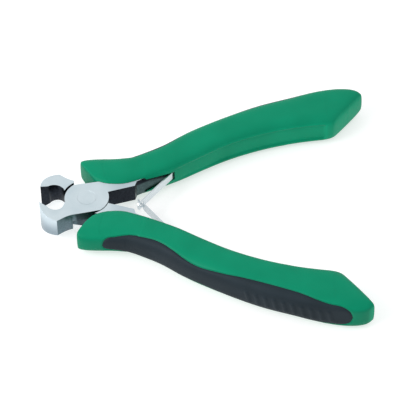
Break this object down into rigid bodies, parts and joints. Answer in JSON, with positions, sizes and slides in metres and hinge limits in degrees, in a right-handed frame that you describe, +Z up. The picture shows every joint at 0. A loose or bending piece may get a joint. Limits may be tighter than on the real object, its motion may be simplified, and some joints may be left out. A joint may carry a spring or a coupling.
{
  "type": "end cutting nipper",
  "caption": "Small spring-opened end-cutting flush nipper with a lap joint, crossed leaf springs and two-material grips.",
  "frame": {"origin": "on the pivot axis, at the underside of the lap joint, on the flush end of the pivot rivet", "axes": "+Z up through the joint along the pivot axis, +X from the jaws to the handle ends, +Y to the upper lever's handle"},
  "size_m": [0.1165, 0.1076, 0.0125],
  "materials": {
    "joint_steel": "satin ground",
    "grip_green": "satin moulded",
    "grip_black": "soft matte",
    "spring_steel": "bright rolled"
  },
  "bodies": {
    "lower_half": {"lower_lever": "joint_steel", "lower_grip_shell": "grip_green", "lower_grip_insert": "grip_black", "lower_spring_foot": "spring_steel", "lower_spring_rivet": "spring_steel", "pivot_rivet": "joint_steel"},
    "upper_half": {"upper_lever": "joint_steel", "upper_grip_shell": "grip_green", "upper_grip_insert": "grip_black", "upper_spring_foot": "spring_steel", "upper_spring_rivet": "spring_steel"},
    "lower_leaf": {"lower_spring_blade": "spring_steel"},
    "upper_leaf": {"upper_spring_blade": "spring_steel"}
  },
  "joints": [
    {"name": "main_pivot", "type": "hinge", "parent": "lower_half", "child": "upper_half", "pos_m": [0, 0, 0.00365], "axis": [0, 0, 1], "range_deg": [-24.8, 0], "stiffness_Nm_per_rad": 1.2},
    {"name": "upper_leaf_flex", "type": "hinge", "parent": "upper_half", "child": "upper_leaf", "pos_m": [0.0303, 0.0145, 0.00365], "axis": [0, 0, 1], "range_deg": [-15.4, 0]},
    {"name": "lower_leaf_flex", "type": "hinge", "parent": "lower_half", "child": "lower_leaf", "pos_m": [0.0303, -0.0145, 0.00365], "axis": [0, 0, 1], "range_deg": [0, 15.4]}
  ],
  "couplings": [
    {"joint": "upper_leaf_flex", "follows": "main_pivot", "ratio": 0.6206},
    {"joint": "lower_leaf_flex", "follows": "main_pivot", "ratio": -0.6206}
  ]
}
